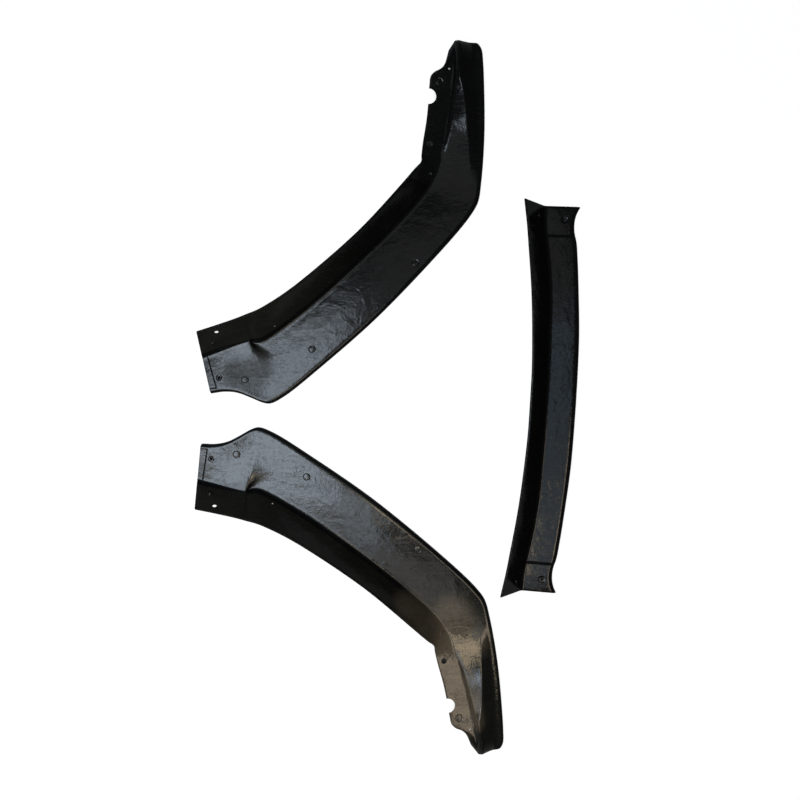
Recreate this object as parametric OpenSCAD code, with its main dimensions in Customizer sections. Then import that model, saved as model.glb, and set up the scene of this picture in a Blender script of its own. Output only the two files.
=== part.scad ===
// Front splitter lip in three moulded shells: a centre section and two mirrored wings.
// The shells lie apart on one floor, on their lower edges, with their rear walls standing up.
// X runs to the right and Y up in the layout, Z is up, and all sizes are millimetres.

/* [Shell] */
// Thickness of the moulded shell
shell = 3; // [2.6:0.1:3.4]
// Height of the blade above the floor along its front edge
rim_h = 14; // [12.5:0.5:17]
// Radius that the front edge is rounded with
rim_r = 7.5; // [6:0.5:8.5]
// Height of the free edge of the rear wall
wall_h = 60; // [52:1:68]
// Height of the blade's top face along the fold
fold_h = 5; // [4.5:0.1:6]

/* [Wings] */
// Sideways reach of a wing, from its inner end to its outermost edge
wing_span = 650; // [620:1:690]
// Reach of a wing from its inner front corner back to its tip
wing_sweep = 520; // [500:1:545]
// Height of the crest at the end of a wing
crest_h = 40; // [36:0.5:44]
// Height of the inner edge of the crest's ramp at the end of a wing
ramp_h = 34; // [31:0.5:36]
// Depth of the step from the ramp down to the fixing flange
flange_step = 12; // [9:0.5:14]
// Rise of the lap at a wing's inner end, where it covers the centre section
lap_rise = 8; // [5:0.5:10]
// Depth of the shallow strip along a wing's inner edge
strip_drop = 1.2; // [0.8:0.1:1.6]

/* [Centre section] */
// Length of the centre section
centre_length = 730; // [690:1:780]
// Length of each end tab that goes under a wing
tab_length = 52; // [48:1:58]
// Depth that each end tab is set down by
tab_drop = 2; // [1:0.1:2]
// Length of the sloped riser beside each tab
riser_length = 7; // [5:0.5:9]

/* [Fixings] */
// Bore of the clip holes that join a wing to the centre section
join_bore = 6; // [5:0.1:6.5]
// Diameter of the shallow recess round a join hole in a wing
join_seat = 12; // [11:0.5:13]
// Diameter of the recess round a join hole in the centre section
tab_seat = 15; // [13:0.5:16]
// Depth of the recesses round the join holes
seat_depth = 1; // [0.6:0.1:1.4]
// Bore of the screw holes that have a raised ring
screw_bore = 4.2; // [3.5:0.1:5]
// Diameter of the raised rings round those screw holes
ring_d = 10; // [9:0.5:11]
// Height of the raised rings
ring_h = 1.2; // [0.8:0.1:2]
// Bore of the clearance hole in a wing's rear wall
clear_bore = 8; // [7:0.5:9]
// Bore of the large hole in a wing's flange
clip_bore = 11; // [9:0.5:12]
// Bore of the small holes
pin_bore = 4; // [3.5:0.1:4.5]
// Diameter of the round pads on a wing's blade
pad_d = 12; // [10:0.5:14]
// Height of the round pads
pad_h = 0.6; // [0.4:0.1:0.8]
// Radius of the round notch in a wing's flange
notch_r = 14; // [12:0.5:15]

/* [Layout] */
// Clearance between the front edges of the two wings where they lie closest
wing_gap = 45; // [30:1:80]
// Place in Y of the middle of that clearance
gap_y = -21.5; // [-60:0.5:20]
// Place in X of the outermost edge of the left wing
left_x = 181.5; // [120:0.5:200]
// Place in X of the outermost edge of the right wing
right_x = 223.5; // [150:0.5:240]
// Place in X of the middle of the centre section
centre_x = 275.5; // [270:0.5:400]
// Place in Y of the middle of the centre section
centre_y = 7.5; // [-20:0.5:40]
// Angle that the left wing lies turned by
left_turn = 14.3; // [10:0.1:18]
// Angle that the right wing lies turned by
right_turn = -8; // [-12:0.1:-4]
// Angle that the centre section lies turned by
centre_turn = -3.1; // [-6:0.1:0]

/* [Hidden] */

// Drawn size of the wing's outlines, which the set span and sweep stretch
drawn_span = 650;
drawn_sweep = 520;
// Drawn half length of the centre section's outlines
drawn_half = 365;

// Outlines of a wing as [station, [x outward, y forward]], from station 0 at the inner end
// to station 23 at the tip: the front edge, the fold behind the blade and the free rear edge.
front_edge = [[0, [0, 1]], [1, [25, 4]], [2, [48, 12]], [3, [70, 27]], [4, [90, 42]],
    [5, [105, 47]], [6, [127, 42]], [8, [196, 12]], [10, [335, -58]], [12, [475, -144]],
    [14, [559, -204]], [15, [577, -224]], [16, [590, -255]], [18, [618, -342]],
    [20, [641, -438]], [21, [647, -468]], [22, [650, -490]], [23, [646, -507]]];
fold_line = [[0, [0, -68]], [2, [38, -72]], [4, [76, -74]], [5, [95, -74]], [6, [114, -70]],
    [7, [133, -74]], [9, [235, -118]], [11, [365, -188]], [13, [465, -250]],
    [15, [512, -292]], [17, [546, -346]], [19, [580, -429]], [20, [585, -443]],
    [21, [590, -457]], [21.5, [592, -466]], [22, [599, -489]], [23, [605, -520]]];
free_edge = [[0, [15, -112]], [2, [51, -114]], [5, [106, -119]], [7, [146, -126]],
    [9, [220, -152]], [11, [345, -214]], [13, [443, -278]], [14, [475, -303]],
    [15, [490, -316]], [16, [494, -330]], [17, [502, -352]], [18, [518, -389]],
    [19, [530, -422]], [20, [539, -450]], [21, [546, -464]], [21.5, [554, -468]],
    [22, [566, -470]], [22.5, [576, -479]], [23, [591, -507]]];

// Heights along a wing, as shares of the set heights at each station
wall_share = [[0, 1], [11, 1], [12, 0.98], [13, 0.86], [14, 0.6], [15, 0.33], [16, 0.16],
    [17, 0.08], [18, 0.05], [23, 0.05]];
ramp_share = [[0, 0], [13, 0], [14, 0.02], [16, 0.22], [18, 0.66], [20, 0.95], [21, 1], [23, 1]];
step_share = [[0, 0], [15, 0], [16, 0.05], [18, 0.65], [20, 1], [21, 0.9], [22, 0.6], [23, 0.3]];
crest_share = [[0, 0], [15, 0], [15.7, 0.03], [18, 1], [19, 1], [23, 1]];
// Place of the crest line across the blade, as a share of the way from front edge to fold
crest_place = [[0, 0.45], [14, 0.4], [16, 0.3], [17, 0.41], [18, 0.55], [19, 0.72],
    [20, 0.84], [23, 0.86]];

// Outlines of the centre section, as [distance from the middle, y forward]
centre_front = [[0, 81.5], [60, 81], [120, 79.5], [208, 73], [270, 67], [300, 63], [312, 60],
    [322, 58], [342, 58], [354, 61], [365, 66.5]];
centre_fold = [[0, 24.5], [60, 24.3], [120, 23], [180, 21], [240, 15.5], [272, 10.5], [309, 4.5],
    [330, 1.5], [365, 0]];
centre_rear = [[0, -12], [60, -12.5], [110, -15], [195, -21.5], [280, -32], [324, -38],
    [350, -42.5], [365, -45]];

// Stations that the shells are lofted through
wing_end = 23;
wing_stations = concat([0, 0.48, 0.6], [for (u = [1:0.5:5]) u], [5.12, 5.25, 5.5],
    [for (u = [6:0.5:22]) u], [22.3, 22.55, 22.75, 22.9, wing_end]);

// Smooth curve through knots [station, value], where a value is a number or a point
function rate(k, i) = (k[i + 1][1] - k[i][1]) / (k[i + 1][0] - k[i][0]);
function tangent(k, i) =
    i == 0 ? rate(k, 0)
    : i == len(k) - 1 ? rate(k, i - 1)
    : let (before = k[i][0] - k[i - 1][0], after = k[i + 1][0] - k[i][0])
        (rate(k, i - 1) * after + rate(k, i) * before) / (before + after);
function stretch(k, u, i = 0) = i >= len(k) - 2 || u < k[i + 1][0] ? i : stretch(k, u, i + 1);
function curve(k, u) =
    let (i = stretch(k, u), h = k[i + 1][0] - k[i][0], t = (u - k[i][0]) / h)
    (1 + 2 * t) * (1 - t) * (1 - t) * k[i][1] + t * (1 - t) * (1 - t) * h * tangent(k, i)
    + t * t * (3 - 2 * t) * k[i + 1][1] - t * t * (1 - t) * h * tangent(k, i + 1);

// Smooth ramp from 0 at a to 1 at b
function ease(a, b, u) = let (t = min(max((u - a) / (b - a), 0), 1)) t * t * (3 - 2 * t);
function mix(a, b, t) = a + (b - a) * t;
function unit(v) = v / norm(v);

// Sections are drawn as [distance back from the front edge, height].
// Direction below a line from a to b, and corner b of a path a, b, c moved below by t
function below(a, b) = let (v = unit(b - a)) [v[1], -v[0]];
function inset(a, b, c, t) =
    let (n = below(a, b), m = below(b, c)) b + t * (n + m) / (1 + n * m);

// Rounded corner at k between points a and b, in a number of steps
function rounded(a, k, b, steps) =
    [for (t = [0:steps]) let (s = t / steps) (1 - s) * (1 - s) * a + 2 * s * (1 - s) * k + s * s * b];

// Rounded front edge of radius r under a top face at height h, set back by d, from the floor up
function rim(h, r, d) =
    concat([[d, 0]], [for (a = [0:22.5:90]) [d + r - r * cos(a), h - r + r * sin(a)]]);
rim_line = rim_r + 1.5;

// Shell between a grid of surface points and a grid of underside points, rows along the length
module lofted_shell(surface, underside) {
    rows = len(surface);
    cols = len(surface[0]);
    points = concat([for (row = surface) each row], [for (row = underside) each row]);
    function top(i, j) = i * cols + j;
    function low(i, j) = rows * cols + top(i, j);
    function quad(a, b, c, d) = [[a, b, c], [a, c, d]];
    faces = concat(
        [for (i = [0:rows - 2]) for (j = [0:cols - 2])
            each quad(top(i, j), top(i + 1, j), top(i + 1, j + 1), top(i, j + 1))],
        [for (i = [0:rows - 2]) for (j = [0:cols - 2])
            each quad(low(i, j), low(i, j + 1), low(i + 1, j + 1), low(i + 1, j))],
        [for (i = [0:rows - 2]) each quad(top(i, 0), low(i, 0), low(i + 1, 0), top(i + 1, 0))],
        [for (i = [0:rows - 2])
            each quad(top(i, cols - 1), top(i + 1, cols - 1), low(i + 1, cols - 1), low(i, cols - 1))],
        [for (j = [0:cols - 2]) each quad(top(0, j), top(0, j + 1), low(0, j + 1), low(0, j))],
        [for (j = [0:cols - 2])
            each quad(top(rows - 1, j), low(rows - 1, j), low(rows - 1, j + 1), top(rows - 1, j + 1))]);
    polyhedron(points = points, faces = faces);
}

// Plan outlines of a wing at its set size. The lap moves the fold back a little.
function sized(p) = [p[0] * wing_span / drawn_span, p[1] * wing_sweep / drawn_sweep];
lap_start = 1;
lap_end = 5;
lap_edge = 5.25;
lap_shift = 4;
function lap(u) = ease(lap_start, lap_end, u) * (1 - ease(lap_end, lap_edge, u));
function front_at(u) = sized(curve(front_edge, u));
function fold_at(u) = sized(curve(fold_line, u)) - [0, lap_shift * lap(u)];
function free_at(u) = sized(curve(free_edge, u));

// The end of a wing rolls down to the floor over its last stretch
roll_start = 22;
roll_floor = 0.08;
end_wall = 0.2;
function roll(u) = let (t = min(max((u - roll_start) / (wing_end - roll_start), 0), 1)) sqrt(1 - t * t);

// Height of the blade along the fold, of the flange root behind it and of the free edge
function wing_fold_h(u) = mix(fold_h, ramp_h, curve(ramp_share, u)) + lap_rise * lap(u);
function flange_h(u) = wing_fold_h(u) - flange_step * curve(step_share, u);
function free_h(u) = mix(flange_h(u), wall_h, curve(wall_share, u));

// Corners of a wing's section behind its rounded front edge: rim line, crest, fold, flange
// root and free edge. Width is the way from front edge to fold, and back from there to the
// free edge.
crest_rim = rim_r + 4.5;
fold_round = 4;
function wing_corners(u, width, back) =
    let (crested = curve(crest_share, u),
        line = mix(rim_line, crest_rim, crested),
        crest_d = width * curve(crest_place, u),
        flat_h = mix(rim_h, wing_fold_h(u), (crest_d - line) / (width - line)),
        high_h = wing_fold_h(u) + (crest_h - ramp_h) * (0.3 + 0.7 * wing_fold_h(u) / ramp_h))
    [[line, rim_h], [crest_d, mix(flat_h, high_h, crested)], [width, wing_fold_h(u)],
        [width + fold_round, mix(flange_h(u), free_h(u), fold_round / back)], [width + back, free_h(u)]];
function inset_corners(c, t) =
    [c[0] - [0, t], inset(c[0], c[1], c[2], t), inset(c[1], c[2], c[3], t), inset(c[2], c[3], c[4], t),
        c[4] + t * below(c[3], c[4])];

// Points along a wing's section: outer face with a fillet at the rim line, rounded crest,
// ramp or blade, rounded fold, then flange or wall
crest_round = 2;
fillet_share = 0.25;
function face_rise(s) = (s < fillet_share ? s * s / (2 * fillet_share) : s - fillet_share / 2)
    / (1 - fillet_share / 2);
function wing_path(c, crested, strip) =
    let (face_top = c[1] - crest_round * unit(c[1] - c[0]),
        ramp = norm(c[2] - c[1]),
        ramp_dir = unit(c[2] - c[1]),
        ramp_top = c[1] + min(crest_round, 0.2 * ramp) * ramp_dir,
        fold_in = c[2] - min(fold_round, 0.45 * ramp) * ramp_dir,
        drop = [0, -strip])
    concat(
        [for (s = [0, 0.12, 0.25, 0.6]) drop
            + [mix(c[0][0], face_top[0], s), mix(c[0][1], face_top[1], mix(s, face_rise(s), crested))]],
        [for (p = rounded(face_top, c[1], ramp_top, 2)) p + drop],
        [for (s = [0.35, 0.7]) mix(ramp_top, fold_in, s) + drop],
        [for (p = rounded(fold_in, c[2], c[3], 3)) p[0] < c[3][0] ? p + drop : p],
        [for (s = [0.35, 0.7, 1]) mix(c[3], c[4], s)]);
function strip(u) = strip_drop * (1 - ease(0.48, 0.6, u));

// Height that a blade point gains over a straight line from rim to fold. The lap rises mostly near
// the fold, and its step is sharp there and spreads out over the stations in front of it.
lap_spread = 6;
lap_lead = 0.6;
function lap_gain(u, share) =
    let (s = min(max(share, 0), 1), soft = ease(lap_start, lap_end, u)
        * (1 - ease(lap_end - lap_lead * (1 - s), lap_edge + lap_spread * (1 - s), u)))
    lap_rise * (s * s * s * soft - s * lap(u));

// Surface or underside points of a wing at a station
function wing_row(u, t) =
    let (f = front_at(u), c = fold_at(u), r = free_at(u), width = norm(c - f), back = norm(r - c),
        e1 = unit(c - f), e2 = unit(r - c), corners = wing_corners(u, width, back),
        scale = t == 0 ? max(roll(u), roll_floor) : roll(u + end_wall),
        path = concat(rim(rim_h - t, rim_r - t, t),
            wing_path(t == 0 ? corners : inset_corners(corners, t), curve(crest_share, u), strip(u))))
    [for (p = path)
        let (q = p[0] < width ? f + p[0] * e1 : c + (p[0] - width) * e2,
            gain = lap_gain(u, (p[0] - corners[0][0]) / (width - corners[0][0])))
        [q[0], q[1], max((p[1] + gain) * scale, 0)]];

// Spot on a surface, from a point there and the directions along and across the surface:
// the point, the direction across and the direction straight out of the surface
function spot_from(point, along, across) = [point, unit(across), unit(cross(across, along))];
near = 0.05;
// Round cuts are turned a little about their own axis, so that no corner falls on a section line
round_turn = 40;
module at_spot(spot) {
    x = spot[1];
    z = spot[2];
    y = cross(z, x);
    multmatrix([for (i = [0:2]) [x[i], y[i], z[i], spot[0][i]]]) rotate([0, 0, round_turn]) children();
}

// Places on a wing, by station and by the share of the way across the blade or up the flange
function wing_point(u, share, on_blade) =
    let (f = front_at(u), c = fold_at(u), r = free_at(u), width = norm(c - f), back = norm(r - c),
        k = wing_corners(u, width, back), flat = on_blade ? mix(f, c, share) : mix(c, r, share),
        d = on_blade ? width * share : width + back * share,
        a = on_blade ? (d < k[1][0] ? k[0] : k[1]) : k[3],
        b = on_blade ? (d < k[1][0] ? k[1] : k[2]) : k[4])
    [flat[0], flat[1], mix(a[1], b[1], (d - a[0]) / (b[0] - a[0]))
        + lap_gain(u, (d - k[0][0]) / (width - k[0][0]))];
function wing_spot(u, share, on_blade) =
    spot_from(wing_point(u, share, on_blade),
        wing_point(u + near, share, on_blade) - wing_point(u - near, share, on_blade),
        wing_point(u, share + near, on_blade) - wing_point(u, share - near, on_blade));

// Bore right through the shell, and a recess or ring round it on the surface
bore_depth = 12;
module bore(d) { translate([0, 0, -bore_depth]) cylinder(d = d, h = 2 * bore_depth, $fn = 32); }
module recess(d) { translate([0, 0, -seat_depth]) cylinder(d = d, h = bore_depth, $fn = 40); }
pad_root = 2;
module pad(d, h) { translate([0, 0, -pad_root]) cylinder(d = d, h = pad_root + h, $fn = 40); }

join_spot = wing_spot(1, 0.38, true);
screw_spot = wing_spot(1.4, 0.37, false);
clear_spot = wing_spot(2, 0.75, false);
pin_spot = wing_spot(7.4, 0.22, false);
flange_screw_spot = wing_spot(14.8, 0.24, false);
clip_spot = wing_spot(16.85, 0.7, false);
ear_spot = wing_spot(20.1, 0.62, false);
ear_pin_spot = wing_spot(21.5, 0.3, false);
notch_spot = wing_spot(19.25, 1, false);
pad_spots = [wing_spot(3.2, 0.37, true), wing_spot(8.3, 0.36, true), wing_spot(11.5, 0.2, true)];

module wing() {
    difference() {
        union() {
            lofted_shell([for (u = wing_stations) wing_row(u, 0)], [for (u = wing_stations) wing_row(u, shell)]);
            for (spot = pad_spots) at_spot(spot) pad(pad_d, pad_h);
            at_spot(ear_spot) pad(pad_d, pad_h);
            at_spot(screw_spot) pad(ring_d, ring_h);
            at_spot(flange_screw_spot) pad(ring_d, pad_h);
        }
        at_spot(join_spot) { bore(join_bore); recess(join_seat); }
        at_spot(screw_spot) bore(screw_bore);
        at_spot(clear_spot) bore(clear_bore);
        at_spot(pin_spot) bore(pin_bore);
        at_spot(flange_screw_spot) bore(screw_bore);
        at_spot(clip_spot) bore(clip_bore);
        at_spot(ear_pin_spot) bore(pin_bore);
        at_spot(notch_spot) bore(2 * notch_r);
    }
}

// Centre section: front edge, fold and free edge at a distance x from its middle, and the
// share of the tab's set-down there
half = centre_length / 2;
tab_root = half - tab_length;
riser_foot = tab_root - riser_length;
function centre_at(k, x) = curve(k, abs(x) * drawn_half / half);
function tab(x) = ease(riser_foot, tab_root, abs(x));

// Stations of one side: evenly spaced, then closer beside the riser and round the holes in the tab
even_step = 30;
even_end = 20;
before_riser = 6;
after_riser = 5;
from_the_end = [35, 23, 11, 5, 0];
centre_side = concat([for (s = [0:even_step:riser_foot - even_end]) s],
    [riser_foot - before_riser, riser_foot, tab_root - 2 / 3 * riser_length, tab_root - riser_length / 3,
        tab_root, tab_root + after_riser],
    [for (d = from_the_end) half - d]);
centre_stations = concat([for (i = [len(centre_side) - 1:-1:1]) -centre_side[i]], centre_side);
function centre_corners(x) =
    let (drop = tab_drop * tab(x), width = centre_at(centre_front, x) - centre_at(centre_fold, x),
        back = centre_at(centre_fold, x) - centre_at(centre_rear, x), h = fold_h + tab_drop - drop,
        slope = (wall_h - h) / back)
    [[rim_line, rim_h - drop], [width / 2, mix(rim_h - drop, h, (width / 2 - rim_line) / (width - rim_line))],
        [width, h], [width + fold_round, h + fold_round * slope], [width + back, wall_h]];
function centre_path(c) =
    let (dir = unit(c[2] - c[0]), fold_in = c[2] - fold_round * dir)
    concat(
        [for (s = [0, 0.3, 0.65]) mix(c[0], fold_in, s)],
        rounded(fold_in, c[2], c[3], 3),
        [for (s = [0.35, 0.7, 1]) mix(c[3], c[4], s)]);
function centre_row(x, t) =
    let (c = centre_corners(x))
    [for (p = concat(rim(c[0][1] - t, rim_r - t, t), centre_path(t == 0 ? c : inset_corners(c, t))))
        [x, centre_at(centre_front, x) - p[0], max(p[1], 0)]];
function centre_point(x, share, on_blade) =
    let (f = centre_at(centre_front, x), k = centre_at(centre_fold, x), r = centre_at(centre_rear, x),
        c = centre_corners(x), a = on_blade ? c[0] : c[3], b = on_blade ? c[2] : c[4],
        d = on_blade ? (f - k) * share : f - k + (k - r) * share)
    [x, f - d, mix(a[1], b[1], (d - a[0]) / (b[0] - a[0]))];
function centre_spot(x, share, on_blade) =
    spot_from(centre_point(x, share, on_blade),
        centre_point(x + near, share, on_blade) - centre_point(x - near, share, on_blade),
        centre_point(x, share + near, on_blade) - centre_point(x, share - near, on_blade));

join_inset = 25;
screw_inset = 21;
module centre_shell() {
    difference() {
        union() {
            lofted_shell([for (x = centre_stations) centre_row(x, 0)],
                [for (x = centre_stations) centre_row(x, shell)]);
            for (side = [-1, 1]) at_spot(centre_spot(side * (half - screw_inset), 0.28, false)) pad(ring_d, ring_h);
        }
        for (side = [-1, 1]) {
            at_spot(centre_spot(side * (half - join_inset), 0.36, true)) { bore(join_bore); recess(tab_seat); }
            at_spot(centre_spot(side * (half - screw_inset), 0.28, false)) bore(screw_bore);
        }
    }
}

// Turns a wing and sets its outermost edge at x and its foremost edge at y. Flip is -1 for
// the mirrored wing, which faces the other way.
function turned(p, turn, flip) =
    [p[0] * cos(turn) - flip * p[1] * sin(turn), p[0] * sin(turn) + flip * p[1] * cos(turn)];
module set_wing(turn, flip, x, y) {
    outline = [for (u = wing_stations) turned(front_at(u), turn, flip)];
    translate([x - max([for (p = outline) p[0]]), y - flip * max([for (p = outline) flip * p[1]]), 0])
        rotate([0, 0, turn]) mirror([0, flip < 0 ? 1 : 0, 0]) wing();
}
gloss_black = [0.05, 0.05, 0.055];
module left_wing() { color(gloss_black) set_wing(left_turn, -1, left_x, wing_gap / 2 + gap_y); }
module right_wing() { color(gloss_black) set_wing(right_turn, 1, right_x, gap_y - wing_gap / 2); }
module centre_section() {
    color(gloss_black) translate([centre_x, centre_y, 0]) rotate([0, 0, centre_turn - 90]) centre_shell();
}

centre_section();
left_wing();
right_wing();
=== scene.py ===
# Front splitter lip: the dressed model of the three mouldings and the studio round them.
# The shells follow the same rails and section as the solids, with many more stations, so that
# their gloss runs smoothly. Sizes of the mouldings are millimetres here, and metres in the meshes.
import math
from types import SimpleNamespace

import bmesh
import bpy
import numpy as np
from mathutils import Matrix, Vector
from mathutils.bvhtree import BVHTree
from mathutils.interpolate import poly_3d_calc


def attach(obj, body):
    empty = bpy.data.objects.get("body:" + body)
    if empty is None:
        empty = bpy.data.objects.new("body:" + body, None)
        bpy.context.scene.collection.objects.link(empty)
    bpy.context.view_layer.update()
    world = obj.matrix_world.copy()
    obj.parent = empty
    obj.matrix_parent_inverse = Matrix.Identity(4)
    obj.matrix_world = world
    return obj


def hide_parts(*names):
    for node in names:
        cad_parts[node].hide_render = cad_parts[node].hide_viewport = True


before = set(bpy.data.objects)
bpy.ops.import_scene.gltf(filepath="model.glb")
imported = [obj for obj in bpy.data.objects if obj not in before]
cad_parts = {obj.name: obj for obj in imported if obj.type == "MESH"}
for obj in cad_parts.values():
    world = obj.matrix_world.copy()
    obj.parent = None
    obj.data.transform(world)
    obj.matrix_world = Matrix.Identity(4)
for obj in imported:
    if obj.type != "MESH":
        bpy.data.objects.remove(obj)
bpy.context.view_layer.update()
MM = 0.001

# Shell
SHELL = 3.0
RIM_H = 14.0
RIM_R = 7.5
RIM_LINE = RIM_R + 1.5
WALL_H = 60.0
FOLD_H = 5.0
FOLD_ROUND = 4.0
EDGE_ROUND = 0.35
SHARP = math.radians(40)
# Wings. Pairs, LEAD, SPREAD and START are stations along the wing. The other numbers below 1
# are shares: BASE is the crest's share of its rise where the fold is low, MOST is of the ramp,
# FILLET of the blade and LEAST of the height.
CREST_H = 40.0
CREST_BASE = 0.3
CREST_RIM = RIM_R + 4.5
CREST_ROUND = 2.0
CREST_ROUND_MOST = 0.2
FOLD_ROUND_MOST = 0.45
RAMP_H = 34.0
FACE_FILLET = 0.25
FLANGE_STEP = 12.0
LAP_RISE = 8.0
LAP_SHIFT = 4.0
LAP_RAMP = (1, 5)
LAP_STEP = (5, 5.25)
LAP_LEAD = 0.6
LAP_SPREAD = 6.0
STRIP_DROP = 1.2
STRIP_END = (0.48, 0.6)
ROLL_START = 22
ROLL_LEAD = 0.2
ROLL_LEAST = 0.08
ROLL_LEAST_BELOW = 0.02
# Centre section
HALF = 365.0
TAB_LENGTH = 52.0
TAB_DROP = 2.0
RISER = 7.0
# Fixings
JOIN_BORE = 6.0
JOIN_SEAT = 12.0
TAB_SEAT = 15.0
SEAT_DEPTH = 1.0
SEAT_SLOPE = 1.1
SCREW_BORE = 4.2
RING_D = 10.0
RING_H = 1.2
RING_SOFT = 1.3
CLEAR_BORE = 8.0
CLIP_BORE = 11.0
PIN_BORE = 4.0
PAD_D = 12.0
PAD_H = 0.6
PAD_SOFT = 0.9
GROOVE = 3.0
GROOVE_DEPTH = 0.5
GROOVE_SLOPE = 1.9
NOTCH_R = 14.0
# Where they are on a wing: station, share of the way across, and whether on the blade
JOIN_AT = (1, 0.38, True)
SCREW_AT = (1.4, 0.37, False)
CLEAR_AT = (2, 0.75, False)
PIN_AT = (7.4, 0.22, False)
FLANGE_SCREW_AT = (14.8, 0.24, False)
CLIP_AT = (16.85, 0.7, False)
NOTCH_AT = (19.25, 1, False)
EAR_PIN_AT = (21.5, 0.3, False)
PADS_AT = [(3.2, 0.37, True), (8.3, 0.36, True), (11.5, 0.2, True), (20.1, 0.62, False)]
# Where they are on a tab of the centre section: distance from its end, and share across
TAB_SCREW_AT = (21, 0.28)
TAB_JOIN_AT = (25, 0.36)
# Layout: the gap between the wings, their outermost edges, and the angle of each piece
WING_GAP = 45.0
GAP_Y = -21.5
LEFT_X = 181.5
RIGHT_X = 223.5
LEFT_TURN = 14.3
RIGHT_TURN = -8.0
CENTRE = (275.5, 7.5)
CENTRE_TURN = -93.1

# Steps of the meshes: round the rim, up a crested blade, round the crest, down the ramp, round
# the fold, up the wall and across the plain blade of the centre section
RIM_STEPS = 9
FACE_STEPS = 12
CREST_STEPS = 4
RAMP_STEPS = 10
FOLD_STEPS = 6
WALL_STEPS = 12
BLADE_STEPS = 20
# Sides of the round tools, how deep a raised round is rooted, how far a cutter reaches, and
# how far a recess goes on over the surface before it turns straight
ROUND_SIDES = 48
SEAT_SIDES = 56
NOTCH_SIDES = 72
ROOT = 2.0
REACH = 12.0
LIFT = 0.1

# Outlines of a wing and of the centre section, and heights along a wing, as in the solids
FRONT_EDGE = [
    (0, (0, 1)), (1, (25, 4)), (2, (48, 12)), (3, (70, 27)), (4, (90, 42)), (5, (105, 47)),
    (6, (127, 42)), (8, (196, 12)), (10, (335, -58)), (12, (475, -144)), (14, (559, -204)),
    (15, (577, -224)), (16, (590, -255)), (18, (618, -342)), (20, (641, -438)), (21, (647, -468)),
    (22, (650, -490)), (23, (646, -507))]
FOLD_LINE = [
    (0, (0, -68)), (2, (38, -72)), (4, (76, -74)), (5, (95, -74)), (6, (114, -70)), (7, (133, -74)),
    (9, (235, -118)), (11, (365, -188)), (13, (465, -250)), (15, (512, -292)), (17, (546, -346)),
    (19, (580, -429)), (20, (585, -443)), (21, (590, -457)), (21.5, (592, -466)),
    (22, (599, -489)), (23, (605, -520))]
FREE_EDGE = [
    (0, (15, -112)), (2, (51, -114)), (5, (106, -119)), (7, (146, -126)), (9, (220, -152)),
    (11, (345, -214)), (13, (443, -278)), (14, (475, -303)), (15, (490, -316)), (16, (494, -330)),
    (17, (502, -352)), (18, (518, -389)), (19, (530, -422)), (20, (539, -450)), (21, (546, -464)),
    (21.5, (554, -468)), (22, (566, -470)), (22.5, (576, -479)), (23, (591, -507))]
WALL_SHARE = [
    (0, 1), (11, 1), (12, 0.98), (13, 0.86), (14, 0.6), (15, 0.33), (16, 0.16), (17, 0.08),
    (18, 0.05), (23, 0.05)]
RAMP_SHARE = [(0, 0), (13, 0), (14, 0.02), (16, 0.22), (18, 0.66), (20, 0.95), (21, 1), (23, 1)]
STEP_SHARE = [(0, 0), (15, 0), (16, 0.05), (18, 0.65), (20, 1), (21, 0.9), (22, 0.6), (23, 0.3)]
CREST_SHARE = [(0, 0), (15, 0), (15.7, 0.03), (18, 1), (19, 1), (23, 1)]
CREST_PLACE = [
    (0, 0.45), (14, 0.4), (16, 0.3), (17, 0.41), (18, 0.55), (19, 0.72), (20, 0.84), (23, 0.86)]
CENTRE_FRONT = [
    (0, 81.5), (60, 81), (120, 79.5), (208, 73), (270, 67), (300, 63), (312, 60), (322, 58),
    (342, 58), (354, 61), (365, 66.5)]
CENTRE_FOLD = [
    (0, 24.5), (60, 24.3), (120, 23), (180, 21), (240, 15.5), (272, 10.5), (309, 4.5), (330, 1.5),
    (365, 0)]
CENTRE_REAR = [
    (0, -12), (60, -12.5), (110, -15), (195, -21.5), (280, -32), (324, -38), (350, -42.5), (365, -45)]


# Curves and small sums
def curve(knots, u):
    """Smooth curve through knots of a station and a value, a number or a point."""
    at = [k[0] for k in knots]
    value = [np.array(k[1], float) for k in knots]
    last = len(knots) - 1
    rate = [(value[i + 1] - value[i]) / (at[i + 1] - at[i]) for i in range(last)]
    i = min(max(int(np.searchsorted(at, u, side="right")) - 1, 0), last - 1)

    def tangent(j):
        if j == 0:
            return rate[0]
        if j == last:
            return rate[-1]
        before = at[j] - at[j - 1]
        after = at[j + 1] - at[j]
        return (rate[j - 1] * after + rate[j] * before) / (before + after)

    h = at[i + 1] - at[i]
    t = (u - at[i]) / h
    return ((1 + 2 * t) * (1 - t) ** 2 * value[i] + t * (1 - t) ** 2 * h * tangent(i)
            + t * t * (3 - 2 * t) * value[i + 1] - t * t * (1 - t) * h * tangent(i + 1))


def ease(a, b, u):
    t = min(max((u - a) / (b - a), 0.0), 1.0)
    return t * t * (3 - 2 * t)


def mix(a, b, t):
    return a + (b - a) * t


def unit(v):
    return v / np.linalg.norm(v)


def below(a, b):
    """Direction square to the line from a to b, on its under side."""
    v = unit(b - a)
    return np.array([v[1], -v[0]])


def inset(a, b, c, t):
    """Corner b of the path a, b, c moved in by the thickness t."""
    n = below(a, b)
    m = below(b, c)
    return b + t * (n + m) / (1 + n @ m)


def rounded(a, corner, b, steps):
    out = []
    for i in range(steps + 1):
        s = i / steps
        out.append((1 - s) ** 2 * a + 2 * s * (1 - s) * corner + s * s * b)
    return out


def rim(h, r, d):
    """Rounded front edge, from the floor up."""
    out = [np.array([d, 0.0]), np.array([d, 0.5 * (h - r)])]
    for i in range(RIM_STEPS + 1):
        a = math.pi / 2 * i / RIM_STEPS
        out.append(np.array([d + r - r * math.cos(a), h - r + r * math.sin(a)]))
    return out


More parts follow.
